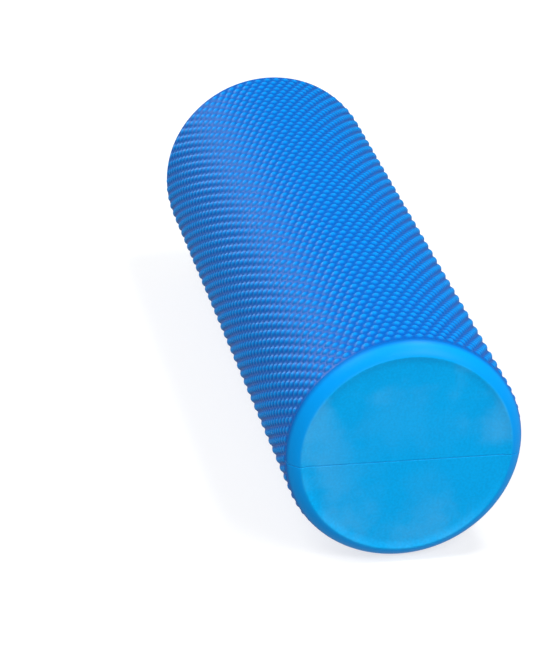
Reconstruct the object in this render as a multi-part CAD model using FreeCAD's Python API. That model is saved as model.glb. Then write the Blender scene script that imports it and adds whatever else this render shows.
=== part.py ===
import FreeCAD, Part
import os

# Foam roller for massage and exercise: a solid, round bar of closed-cell EVA foam.
# It is moulded as two half-round bars, which are glued together along a flat joint
# that runs the whole length. The skin is moulded with small round bumps, apart from
# a smooth rounded band at each end. Nothing on it turns or slides: it rolls whole.
#
# Frame: millimetres, +Z up. The bar lies on the floor along Y. The origin is on the
# floor, under the middle of the bar.

# Driving dimensions
LENGTH = 450.0          # end face to end face
DIAMETER = 150.0        # over the tops of the bumps
END_ROUND = 9.3         # radius of the rounded band at each end
JOINT_HEIGHT = 70.0     # middle of the glued joint above the floor
GLUE_THICKNESS = 0.3    # cured contact adhesive between the halves
GLUE_SETBACK = 0.6      # the glue stops this far inside the skin, so a fine seam shows

# Worked out from the driving dimensions
RADIUS = DIAMETER / 2
LOWER_HALF_TOP = JOINT_HEIGHT - GLUE_THICKNESS / 2
UPPER_HALF_BOTTOM = JOINT_HEIGHT + GLUE_THICKNESS / 2

UP = FreeCAD.Vector(0, 0, 1)
ALONG = FreeCAD.Vector(0, 1, 0)
AXIS_POINT = UP * RADIUS


def profile_point(out, along):
    """A point of the outline: out from the bar's axis, along it from the middle."""
    return AXIS_POINT + UP * out + ALONG * along


def end_arc(radius, half_length, end_round, side):
    """The rounded corner between the skin and one end face; side is -1 or 1."""
    slant = end_round * 0.5 ** 0.5
    corner_out = radius - end_round
    corner_along = half_length - end_round
    return Part.Arc(
        profile_point(corner_out, side * half_length),
        profile_point(corner_out + slant, side * (corner_along + slant)),
        profile_point(radius, side * corner_along),
    ).toShape()


def whole_bar(inset):
    """The bar in one piece, with its outside moved in by inset."""
    radius = RADIUS - inset
    half_length = LENGTH / 2 - inset
    end_round = END_ROUND - inset
    face_edge = radius - end_round
    skin_end = half_length - end_round
    outline = Part.Wire([
        Part.makeLine(profile_point(0, -half_length), profile_point(face_edge, -half_length)),
        end_arc(radius, half_length, end_round, -1),
        Part.makeLine(profile_point(radius, -skin_end), profile_point(radius, skin_end)),
        end_arc(radius, half_length, end_round, 1),
        Part.makeLine(profile_point(face_edge, half_length), profile_point(0, half_length)),
        Part.makeLine(profile_point(0, half_length), profile_point(0, -half_length)),
    ])
    return Part.Face(outline).revolve(AXIS_POINT, ALONG, 360)


def layer(bottom, top):
    """A block, wider and longer than the bar, between two heights."""
    corner = FreeCAD.Vector(-DIAMETER, -LENGTH, bottom)
    return Part.makeBox(2 * DIAMETER, 2 * LENGTH, top - bottom, corner)


def upper_half():
    """The moulding above the joint."""
    return whole_bar(0).common(layer(UPPER_HALF_BOTTOM, 2 * DIAMETER))


def lower_half():
    """The moulding below the joint, which rests on the floor."""
    return whole_bar(0).common(layer(-DIAMETER, LOWER_HALF_TOP))


def glue_layer():
    """The film of adhesive between the two flat faces."""
    return whole_bar(GLUE_SETBACK).common(layer(LOWER_HALF_TOP, UPPER_HALF_BOTTOM))


NODES = {
    "upper_half": upper_half,
    "lower_half": lower_half,
    "glue_layer": glue_layer,
}

os.makedirs("parts", exist_ok=True)
for name, build in NODES.items():
    solid = build().Solids[0]
    solid.exportStep("parts/" + name + ".step")
    print(name, "valid", solid.isValid(), "volume cm3", round(solid.Volume / 1000, 1))
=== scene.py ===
import math

import bmesh
import bpy
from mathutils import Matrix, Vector


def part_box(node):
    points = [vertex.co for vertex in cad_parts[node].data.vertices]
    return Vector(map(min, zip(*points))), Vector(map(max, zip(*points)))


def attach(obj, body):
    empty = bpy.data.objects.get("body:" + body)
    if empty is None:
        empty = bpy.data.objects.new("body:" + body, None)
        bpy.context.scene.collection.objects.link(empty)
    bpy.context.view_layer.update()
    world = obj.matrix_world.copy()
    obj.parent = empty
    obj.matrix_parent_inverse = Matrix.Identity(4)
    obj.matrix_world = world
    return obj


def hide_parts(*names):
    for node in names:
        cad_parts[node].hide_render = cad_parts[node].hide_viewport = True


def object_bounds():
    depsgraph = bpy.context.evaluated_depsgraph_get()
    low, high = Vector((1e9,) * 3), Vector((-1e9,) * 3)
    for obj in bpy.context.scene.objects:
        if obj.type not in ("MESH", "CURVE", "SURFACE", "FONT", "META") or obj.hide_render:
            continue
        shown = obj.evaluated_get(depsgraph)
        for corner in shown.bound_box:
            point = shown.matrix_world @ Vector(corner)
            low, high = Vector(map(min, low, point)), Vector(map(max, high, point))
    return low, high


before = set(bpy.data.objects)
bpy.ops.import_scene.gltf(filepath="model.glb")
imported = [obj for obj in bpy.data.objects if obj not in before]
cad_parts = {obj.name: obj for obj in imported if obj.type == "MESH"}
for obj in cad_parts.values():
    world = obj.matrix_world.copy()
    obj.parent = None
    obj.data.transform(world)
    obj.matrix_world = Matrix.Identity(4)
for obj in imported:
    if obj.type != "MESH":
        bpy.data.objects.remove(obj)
cad_low, cad_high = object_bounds()


# The whole bar, before it is parted into halves. Closed-cell EVA foam is pressed hot in a
# mould whose wall is cut with a honeycomb of round dimples, and they leave the bumps.

axis_height = cad_high.z / 2
bar_radius = cad_high.z / 2
half_length = cad_high.y

bumps_round = 69
bump_rows = 72
bump_height = 0.0017
saddle_height = 0.0005            # halfway between neighbouring bumps; the pits are at zero
end_band = 0.0089                 # length of the smooth band at each end
band_step = 0.0010                # the bumps stand this much proud of the band
row_margin = 0.0003               # from the band to the nearest pits
rim_radius = 0.0657               # of the crisp edge round each end's face
valley_radius = bar_radius - bump_height
band_radius = bar_radius - band_step
bump_pitch = 2 * math.pi * bar_radius / bumps_round

# The pits beyond the first and last rows lie two thirds of a row further out.
textured_length = 2 * (half_length - end_band - row_margin)
row_pitch = textured_length / (bump_rows - 1 + 2 * 2 / 3)


def linear(colour):
    """The linear colour, with alpha, for an sRGB colour written as hex."""
    parts = [int(colour[i:i + 2], 16) / 255 for i in (1, 3, 5)]
    return [p / 12.92 if p <= 0.04045 else ((p + 0.055) / 1.055) ** 2.4 for p in parts] + [1]


def add_node(tree, kind, inputs=None, **settings):
    """Adds a node. inputs gives each socket, by name or number, a value, a socket to link from,
    or a node whose first output is linked."""
    node = tree.nodes.new(kind)
    for name, value in settings.items():
        setattr(node, name, value)
    for key, value in (inputs or {}).items():
        if isinstance(value, bpy.types.Node):
            value = value.outputs[0]
        if isinstance(value, bpy.types.NodeSocket):
            tree.links.new(value, node.inputs[key])
        else:
            node.inputs[key].default_value = value
    return node


def one_bump():
    """One bump on the six-sided patch that it has to itself: a centre, two rings and the border,
    which is low at its corners and a little higher halfway to each neighbour."""
    sides = 12
    rings = [(bump_pitch * 0.17, 0.88), (bump_pitch * 0.33, 0.50)]    # radius, share of the height
    half, row = bump_pitch / 2, row_pitch
    corners = [Vector((0, 0, bump_height))]
    for ring_radius, share in rings:
        for i in range(sides):
            turn = 2 * math.pi * i / sides
            place = Vector((math.cos(turn), math.sin(turn), 0)) * ring_radius
            corners.append(place + Vector((0, 0, bump_height * share)))
    border = [(half, 0), (half, row / 3), (half / 2, row / 2)]
    border += [(0, row * 2 / 3), (-half / 2, row / 2), (-half, row / 3)]
    border += [(-x, -y) for x, y in border]
    for i, (x, y) in enumerate(border):
        corners.append(Vector((x, y, saddle_height if i % 2 == 0 else 0)))
    faces = []
    for i in range(sides):
        j = (i + 1) % sides
        faces.append((0, 1 + i, 1 + j))
        for inner in (1, 1 + sides):
            outer = inner + sides
            faces.append((inner + i, outer + i, outer + j, inner + j))
    mesh = bpy.data.meshes.new("one_bump")
    mesh.from_pydata(corners, [], faces)
    return bpy.data.objects.new("one_bump", mesh)


def skin_tree():
    """Geometry Nodes: lays the bump out in staggered rows and wraps the sheet round the bar."""
    tree = bpy.data.node_groups.new("bumpy_skin", "GeometryNodeTree")
    sockets = tree.interface
    for name, kind in [
        ("Bump", "NodeSocketObject"),
        ("Bumps Round", "NodeSocketInt"),
        ("Rows", "NodeSocketInt"),
        ("Bump Pitch", "NodeSocketFloat"),
        ("Row Pitch", "NodeSocketFloat"),
        ("Valley Radius", "NodeSocketFloat"),
        ("Axis Height", "NodeSocketFloat"),
        ("Uneven", "NodeSocketFloat"),
        ("Seed", "NodeSocketInt"),
        ("Foam", "NodeSocketMaterial"),
    ]:
        sockets.new_socket(name, in_out="INPUT", socket_type=kind)
    sockets.new_socket("Geometry", in_out="OUTPUT", socket_type="NodeSocketGeometry")
    given = tree.nodes.new("NodeGroupInput").outputs

    # A bump's place: columns along X, rows along Y, and every other row moved by half a pitch.
    last_column = add_node(tree, "ShaderNodeMath", {0: given["Bumps Round"], 1: 1}, operation="SUBTRACT")
    last_row = add_node(tree, "ShaderNodeMath", {0: given["Rows"], 1: 1}, operation="SUBTRACT")
    grid = add_node(tree, "GeometryNodeMeshGrid", {
        "Size X": add_node(
            tree, "ShaderNodeMath", {0: last_column, 1: given["Bump Pitch"]}, operation="MULTIPLY",
        ),
        "Size Y": add_node(
            tree, "ShaderNodeMath", {0: last_row, 1: given["Row Pitch"]}, operation="MULTIPLY",
        ),
        "Vertices X": given["Bumps Round"],
        "Vertices Y": given["Rows"],
    })
    number = add_node(tree, "GeometryNodeInputIndex")
    row = add_node(tree, "ShaderNodeMath", {0: number, 1: given["Rows"]}, operation="MODULO")
    odd_row = add_node(tree, "ShaderNodeMath", {0: row, 1: 2}, operation="MODULO")
    half_pitch = add_node(tree, "ShaderNodeMath", {0: given["Bump Pitch"], 1: 0.5}, operation="MULTIPLY")
    step = add_node(tree, "ShaderNodeMath", {0: odd_row, 1: half_pitch}, operation="MULTIPLY")
    staggered = add_node(tree, "GeometryNodeSetPosition", {
        "Geometry": grid,
        "Offset": add_node(tree, "ShaderNodeCombineXYZ", {"X": step}),
    })

    # One bump at each place, each a little lower or higher than the next.
    shape = add_node(tree, "GeometryNodeObjectInfo", {"Object": given["Bump"]})
    lowest = add_node(tree, "ShaderNodeMath", {0: 1, 1: given["Uneven"]}, operation="SUBTRACT")
    height = add_node(tree, "FunctionNodeRandomValue", {
        2: lowest,
        3: 1.0,
        "Seed": given["Seed"],
    }, data_type="FLOAT")
    placed = add_node(tree, "GeometryNodeInstanceOnPoints", {
        "Points": staggered,
        "Instance": shape.outputs["Geometry"],
        "Scale": add_node(tree, "ShaderNodeCombineXYZ", {"X": 1.0, "Y": 1.0, "Z": height.outputs[1]}),
    })
    sheet = add_node(tree, "GeometryNodeRealizeInstances", {"Geometry": placed})

    # Round the bar: distance along X becomes an angle from the top, height becomes radius.
    place = add_node(tree, "GeometryNodeInputPosition")
    flat = add_node(tree, "ShaderNodeSeparateXYZ", {0: place}).outputs
    around = add_node(
        tree, "ShaderNodeMath", {0: given["Bumps Round"], 1: given["Bump Pitch"]}, operation="MULTIPLY",
    )
    turns = add_node(tree, "ShaderNodeMath", {0: flat["X"], 1: around}, operation="DIVIDE")
    angle = add_node(tree, "ShaderNodeMath", {0: turns, 1: 2 * math.pi}, operation="MULTIPLY")
    out = add_node(tree, "ShaderNodeMath", {0: given["Valley Radius"], 1: flat["Z"]}, operation="ADD")
    sine = add_node(tree, "ShaderNodeMath", {0: angle}, operation="SINE")
    cosine = add_node(tree, "ShaderNodeMath", {0: angle}, operation="COSINE")
    sideways = add_node(tree, "ShaderNodeMath", {0: out, 1: sine}, operation="MULTIPLY")
    upwards = add_node(
        tree, "ShaderNodeMath", {0: out, 1: cosine, 2: given["Axis Height"]}, operation="MULTIPLY_ADD",
    )
    wrapped = add_node(tree, "GeometryNodeSetPosition", {
        "Geometry": sheet,
        "Position": add_node(tree, "ShaderNodeCombineXYZ", {"X": sideways, "Y": flat["Y"], "Z": upwards}),
    })
    weld_gap = 0.0001
    welded = add_node(tree, "GeometryNodeMergeByDistance", {"Geometry": wrapped, "Distance": weld_gap})
    skin = add_node(tree, "GeometryNodeSetMaterial", {"Geometry": welded, "Material": given["Foam"]})
    add_node(tree, "NodeGroupOutput", {"Geometry": skin})
    return tree


def end_profile():
    """From the bumps to the middle of an end: (distance from the axis, distance from the bar's
    end). The band, which the bumps stand proud of, is a superellipse, between a round corner
    and a plain bevel. Then come a crisp rim and a face that has sunk a little."""
    squareness = 1.38
    slope_width = 0.0056
    sink = 0.0012
    flat_ring = 0.0010            # keeps the shading of the slope off the flat middle
    band_steps = 13
    slope_steps = 9
    points = []
    band_width = band_radius - rim_radius
    for i in range(band_steps):
        turn = math.pi / 2 * i / band_steps
        points.append((
            rim_radius + band_width * math.cos(turn) ** (2 / squareness),
            end_band * (1 - math.sin(turn) ** (2 / squareness)),
        ))
    points.append((rim_radius, 0))
    for i in range(1, slope_steps + 1):
        share = i / slope_steps
        points.append((
            rim_radius - slope_width * share,
            sink * math.sin(math.pi / 2 * share),
        ))
    points.append((rim_radius - slope_width - flat_ring, sink))
    return points


def turn_ends(bar):
    """Closes both ends of the skin with rings that follow the end profile."""
    for end in (-1, 1):
        ring = [edge for edge in bar.edges if edge.is_boundary and edge.verts[0].co.y * end > 0]
        for out, inward in end_profile():
            made = bmesh.ops.extrude_edge_only(bar, edges=ring)["geom"]
            ring = [item for item in made if isinstance(item, bmesh.types.BMEdge) and item.is_boundary]
            for corner in {corner for edge in ring for corner in edge.verts}:
                angle = math.atan2(corner.co.x, corner.co.z - axis_height)
                corner.co.x = out * math.sin(angle)
                corner.co.y = end * (half_length - inward)
                corner.co.z = axis_height + out * math.cos(angle)
        bmesh.ops.contextual_create(bar, geom=ring)


def whole_bar(foam):
    """The bar in one piece, as a bmesh."""
    bump = one_bump()
    bar = bpy.data.objects.new("whole_bar", bpy.data.meshes.new("whole_bar"))
    bpy.context.scene.collection.objects.link(bar)
    skin = bar.modifiers.new("skin", "NODES")
    skin.node_group = skin_tree()
    values = {
        "Bump": bump,
        "Bumps Round": bumps_round,
        "Rows": bump_rows,
        "Bump Pitch": bump_pitch,
        "Row Pitch": row_pitch,
        "Valley Radius": valley_radius,
        "Axis Height": axis_height,
        "Uneven": 0.06,
        "Seed": 4,
        "Foam": foam,
    }
    for socket in skin.node_group.interface.items_tree:
        if socket.in_out == "INPUT":
            skin[socket.identifier] = values[socket.name]
    evaluated = bar.evaluated_get(bpy.context.evaluated_depsgraph_get())
    mesh = bpy.data.meshes.new_from_object(evaluated)
    shape = bmesh.new()
    shape.from_mesh(mesh)
    bpy.data.objects.remove(bar)
    bpy.data.objects.remove(bump)
    bpy.data.meshes.remove(mesh)
    turn_ends(shape)
    bmesh.ops.recalc_face_normals(shape, faces=shape.faces)
    return shape


def eva_foam():
    """Ethylene-vinyl acetate, closed cell, pressed hot against a steel mould: a satin skin with
    a fine grain, painted shade deep blue between the bumps, painted highlights on their crests, paler where
    it is smooth, and painted sheen on the end faces."""
    material = bpy.data.materials.new("moulded_eva_foam")
    material.use_nodes = True
    tree = material.node_tree
    tree.nodes.clear()
    place = add_node(tree, "ShaderNodeTexCoord").outputs["Object"]
    along = add_node(tree, "ShaderNodeSeparateXYZ", {0: place}).outputs["Y"]
    from_middle = add_node(tree, "ShaderNodeMath", {0: along}, operation="ABSOLUTE")
    across = add_node(tree, "ShaderNodeMapping", {
        "Vector": place,
        "Location": (0, 0, -axis_height),
        "Scale": (1, 0, 1),
    })
    from_axis = add_node(tree, "ShaderNodeVectorMath", {0: across}, operation="LENGTH").outputs["Value"]

    # Clouds where the foam cooled unevenly, and specks from the cells under the skin. The cells
    # are about 0.3 mm across, and the specks are drawn coarser, so that they show.
    cloud_size = 0.030
    speck_size = 0.0016
    clouds = add_node(tree, "ShaderNodeTexNoise", {"Vector": place, "Scale": 1 / cloud_size, "Detail": 3.0})
    specks = add_node(tree, "ShaderNodeTexNoise", {"Vector": place, "Scale": 1 / speck_size, "Detail": 2.0})

    # The bumps: crests painted paler as a highlight, and pits painted deep blue as the shade that gathers
    # between them.
    painted_crest_light = add_node(tree, "ShaderNodeMapRange", {
        "Value": from_axis,
        "From Min": valley_radius + 0.0004,
        "From Max": bar_radius,
    }, interpolation_type="SMOOTHSTEP")
    shaded_bumps_colour = add_node(tree, "ShaderNodeMix", {
        0: painted_crest_light,
        6: linear("#0060BC"),
        7: linear("#0093EA"),
    }, data_type="RGBA").outputs[2]

    # The end faces: clouded and speckled, with faint pale patches of painted sheen that are stronger near
    # the rim.
    speck_share = 0.7
    cloud_part = add_node(tree, "ShaderNodeMath", {0: clouds, 1: 1 - speck_share}, operation="MULTIPLY")
    tint = add_node(
        tree, "ShaderNodeMath", {0: specks, 1: speck_share, 2: cloud_part}, operation="MULTIPLY_ADD",
    )
    tint = add_node(tree, "ShaderNodeMapRange", {
        "Value": tint,
        "From Min": 0.35,
        "From Max": 0.65,
    }, interpolation_type="SMOOTHSTEP")
    face_colour = add_node(tree, "ShaderNodeMix", {
        0: tint,
        6: linear("#00A6EE"),
        7: linear("#00B0F8"),
    }, data_type="RGBA").outputs[2]
    # Painted sheen: pale patches mixed into the end faces' colour, stronger towards the rim.
    patch_size = 0.050
    sheen_patches = add_node(tree, "ShaderNodeTexNoise", {"Vector": place, "Scale": 1 / patch_size, "Detail": 4.0})
    painted_sheen = add_node(tree, "ShaderNodeMapRange", {
        "Value": sheen_patches,
        "From Min": 0.42,
        "From Max": 0.62,
    }, interpolation_type="SMOOTHSTEP")
    strength = add_node(tree, "ShaderNodeMapRange", {
        "Value": from_axis,
        "From Min": 0.026,
        "From Max": 0.058,
        "To Min": 0.04,
        "To Max": 0.17,
    }, interpolation_type="SMOOTHSTEP")
    on_face = add_node(tree, "ShaderNodeMapRange", {
        "Value": from_middle,
        "From Min": half_length - 0.0022,
        "From Max": half_length - 0.0010,
    }, interpolation_type="SMOOTHSTEP")
    painted_sheen = add_node(tree, "ShaderNodeMath", {0: painted_sheen, 1: strength}, operation="MULTIPLY")
    painted_sheen = add_node(tree, "ShaderNodeMath", {0: painted_sheen, 1: on_face}, operation="MULTIPLY")
    face_colour = add_node(tree, "ShaderNodeMix", {
        0: painted_sheen,
        6: face_colour,
        7: linear("#84CCF4"),
    }, data_type="RGBA").outputs[2]

    # The bands, a little deeper in colour than the faces.
    on_band = add_node(tree, "ShaderNodeMapRange", {
        "Value": from_axis,
        "From Min": rim_radius - 0.0004,
        "From Max": rim_radius + 0.0016,
    }, interpolation_type="SMOOTHSTEP")
    smooth_colour = add_node(tree, "ShaderNodeMix", {
        0: on_band,
        6: face_colour,
        7: linear("#009CF4"),
    }, data_type="RGBA").outputs[2]
    band_start = half_length - end_band
    past_bumps = add_node(tree, "ShaderNodeMapRange", {
        "Value": from_middle,
        "From Min": band_start - 0.0003,
        "From Max": band_start + 0.0040,
    }, interpolation_type="SMOOTHSTEP")
    colour = add_node(tree, "ShaderNodeMix", {
        0: past_bumps,
        6: shaded_bumps_colour,
        7: smooth_colour,
    }, data_type="RGBA").outputs[2]

    # The grain of the blasted mould is about 0.1 mm, and is drawn coarser, so that it shows.
    grain_size = 0.0006
    grain = add_node(tree, "ShaderNodeTexNoise", {"Vector": place, "Scale": 1 / grain_size, "Detail": 2.0})
    bump = add_node(tree, "ShaderNodeBump", {"Strength": 0.30, "Distance": 0.0002, "Height": grain})
    roughness = add_node(tree, "ShaderNodeMath", {0: clouds, 1: 0.10, 2: 0.32}, operation="MULTIPLY_ADD")

    # The skin is dull, and reflects much less than a polished piece of the same polymer.
    surface = add_node(tree, "ShaderNodeBsdfPrincipled", {
        "Base Color": colour,
        "Roughness": roughness,
        "IOR": 1.49,
        "Specular IOR Level": 0.085,
        "Normal": bump,
    })
    add_node(tree, "ShaderNodeOutputMaterial", {"Surface": surface})
    return material


# The two half bars. Each is parted along a flat joint a little below the middle of the bar,
# and its edge is eased, so that a fine groove runs all round the glued roller.

groove_depth = 0.00012


def half_bar(name, bar, joint, side, foam):
    """The part of the bar above (side 1) or below (side -1) the joint, as an object, and the
    outline of its joint face."""
    groove_half = 0.00032
    shoulder = 0.0004             # a strip beside the groove, which keeps its shading off the skin
    snap = 0.00003
    shape = bar.copy()
    edge_height = joint + side * groove_half
    for height, parted in ((edge_height + side * shoulder, False), (edge_height, True)):
        bmesh.ops.bisect_plane(
            shape,
            geom=shape.verts[:] + shape.edges[:] + shape.faces[:],
            dist=snap,
            plane_co=(0, 0, height),
            plane_no=(0, 0, side),
            clear_inner=parted,
        )
    outline = [edge for edge in shape.edges if edge.is_boundary]
    made = bmesh.ops.extrude_edge_only(shape, edges=outline)["geom"]
    outline = [item for item in made if isinstance(item, bmesh.types.BMEdge) and item.is_boundary]
    for corner in {corner for edge in outline for corner in edge.verts}:
        corner.co.x *= 1 - groove_depth / bar_radius
        corner.co.y *= 1 - groove_depth / half_length
        corner.co.z = joint
    joint_face = bmesh.ops.contextual_create(shape, geom=outline)["faces"][0]
    joint_outline = [tuple(corner.co.xy) for corner in joint_face.verts]
    bmesh.ops.recalc_face_normals(shape, faces=shape.faces)
    for face in shape.faces:
        face.smooth = True
    mesh = bpy.data.meshes.new(name)
    shape.to_mesh(mesh)
    shape.free()
    mesh.materials.clear()
    mesh.materials.append(foam)
    half = bpy.data.objects.new(name, mesh)
    bpy.context.scene.collection.objects.link(half)
    return half, joint_outline


foam = eva_foam()
bar = whole_bar(foam)
glue_low, glue_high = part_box("glue_layer")
upper, joint_outline = half_bar("upper_half_bar", bar, glue_high.z, 1, foam)
lower = half_bar("lower_half_bar", bar, glue_low.z, -1, foam)[0]
for half, node in ((upper, "upper_half"), (lower, "lower_half")):
    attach(half, "root")
    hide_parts(node)


# The glue between the halves. Contact adhesive is brushed on to both joint faces, left to dry
# and pressed together, and it fills the joint out to the bottom of the groove.

def contact_adhesive():
    """Polychloroprene contact adhesive, tinted by the foam that it has soaked into: a dull skin,
    a little darker than the foam, with lumps from the brush."""
    material = bpy.data.materials.new("contact_adhesive")
    material.use_nodes = True
    tree = material.node_tree
    tree.nodes.clear()
    place = add_node(tree, "ShaderNodeTexCoord").outputs["Object"]
    lump_size = 0.0015
    lumps = add_node(tree, "ShaderNodeTexNoise", {"Vector": place, "Scale": 1 / lump_size, "Detail": 2.0})
    colour = add_node(tree, "ShaderNodeMix", {
        0: lumps,
        6: linear("#0092DC"),
        7: linear("#009AE4"),
    }, data_type="RGBA").outputs[2]
    bump = add_node(tree, "ShaderNodeBump", {"Strength": 0.3, "Distance": 0.0001, "Height": lumps})
    surface = add_node(tree, "ShaderNodeBsdfPrincipled", {
        "Base Color": colour,
        "Roughness": 0.5,
        "Specular IOR Level": 0.2,
        "Normal": bump,
    })
    add_node(tree, "ShaderNodeOutputMaterial", {"Surface": surface})
    return material


def glue_plate(outline, low, high):
    """A thin plate between two heights, a little inside the outline."""
    inset = 0.00002
    count = len(outline)
    scale_x = 1 - inset / bar_radius
    scale_y = 1 - inset / half_length
    corners = [(x * scale_x, y * scale_y, z) for z in (low, high) for x, y in outline]
    faces = [tuple(range(count)), tuple(range(count, 2 * count))]
    for i in range(count):
        j = (i + 1) % count
        faces.append((i, j, count + j, count + i))
    mesh = bpy.data.meshes.new("dried_glue")
    mesh.from_pydata(corners, [], faces)
    shape = bmesh.new()
    shape.from_mesh(mesh)
    bmesh.ops.recalc_face_normals(shape, faces=shape.faces)
    shape.to_mesh(mesh)
    shape.free()
    glue = bpy.data.objects.new("dried_glue", mesh)
    bpy.context.scene.collection.objects.link(glue)
    return glue


glue = glue_plate(joint_outline, glue_low.z, glue_high.z)
glue.data.materials.append(contact_adhesive())
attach(glue, "root")
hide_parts("glue_layer")


# The floor, the studio's lights and the camera, which are not part of the roller. The floor
# glows a little, so that it stays pale in the shade.

floor_mesh = bpy.data.meshes.new("floor")
floor_half = 20.0
floor_mesh.from_pydata(
    [(x * floor_half, y * floor_half, 0) for x, y in ((-1, -1), (1, -1), (1, 1), (-1, 1))],
    [],
    [(0, 1, 2, 3)],
)
floor = bpy.data.objects.new("floor", floor_mesh)
bpy.context.scene.collection.objects.link(floor)
floor_paint = bpy.data.materials.new("pale_floor")
floor_paint.use_nodes = True
floor_surface = floor_paint.node_tree.nodes["Principled BSDF"].inputs
floor_surface["Base Color"].default_value = linear("#A0A0A0")
floor_surface["Roughness"].default_value = 0.8
floor_surface["Emission Color"].default_value = linear("#FFFFFF")
floor_surface["Emission Strength"].default_value = 0.70
floor_mesh.materials.append(floor_paint)

# The roller doesn't see the floor. It gets an even light from below instead, brighter than the
# light from above, as from a white table.
floor.visible_diffuse = False
floor.visible_glossy = False

world = bpy.data.worlds.new("studio")
bpy.context.scene.world = world
world.use_nodes = True
backdrop = world.node_tree.nodes["Background"].inputs
backdrop["Color"].default_value = linear("#FFFFFF")
direction = add_node(world.node_tree, "ShaderNodeTexCoord").outputs["Generated"]
upwards = add_node(world.node_tree, "ShaderNodeSeparateXYZ", {0: direction}).outputs["Z"]
glow = add_node(world.node_tree, "ShaderNodeMapRange", {
    "Value": upwards,
    "From Min": -0.5,
    "From Max": 0.5,
    "To Min": 0.48,
    "To Max": 0.22,
})
world.node_tree.links.new(glow.outputs[0], backdrop["Strength"])


def softbox(name, place, size, power):
    """A square area light at place, turned towards the middle of the roller."""
    light = bpy.data.lights.new(name, "AREA")
    light.size = size
    light.energy = power
    lamp = bpy.data.objects.new(name, light)
    lamp.location = place
    lamp.rotation_euler = (middle - Vector(place)).to_track_quat("-Z", "Y").to_euler()
    bpy.context.scene.collection.objects.link(lamp)


middle = Vector((0, 0, axis_height))
softbox("key_light", (1.05, -1.95, 2.09), 1.3, 41)
softbox("front_light", (-0.26, -2.55, 0.45), 0.8, 10)
softbox("left_light", (-1.2, -0.6, 2.3), 1.0, 22)
softbox("back_light", (-1.5, 2.0, 1.2), 1.0, 36)
softbox("top_light", (0.75, -0.3, 2.4), 0.45, 24)

# A long lens, from above and a little to the left of the near end.
camera = bpy.data.objects.new("camera", bpy.data.cameras.new("camera"))
camera.location = (-0.4538, -1.9192, 0.9979)
camera.rotation_euler = [math.radians(turn) for turn in (64.384, -1.990, -11.193)]
camera.data.lens = 180.1
bpy.context.scene.collection.objects.link(camera)
bpy.context.scene.camera = camera
bpy.context.scene.view_settings.view_transform = "Standard"
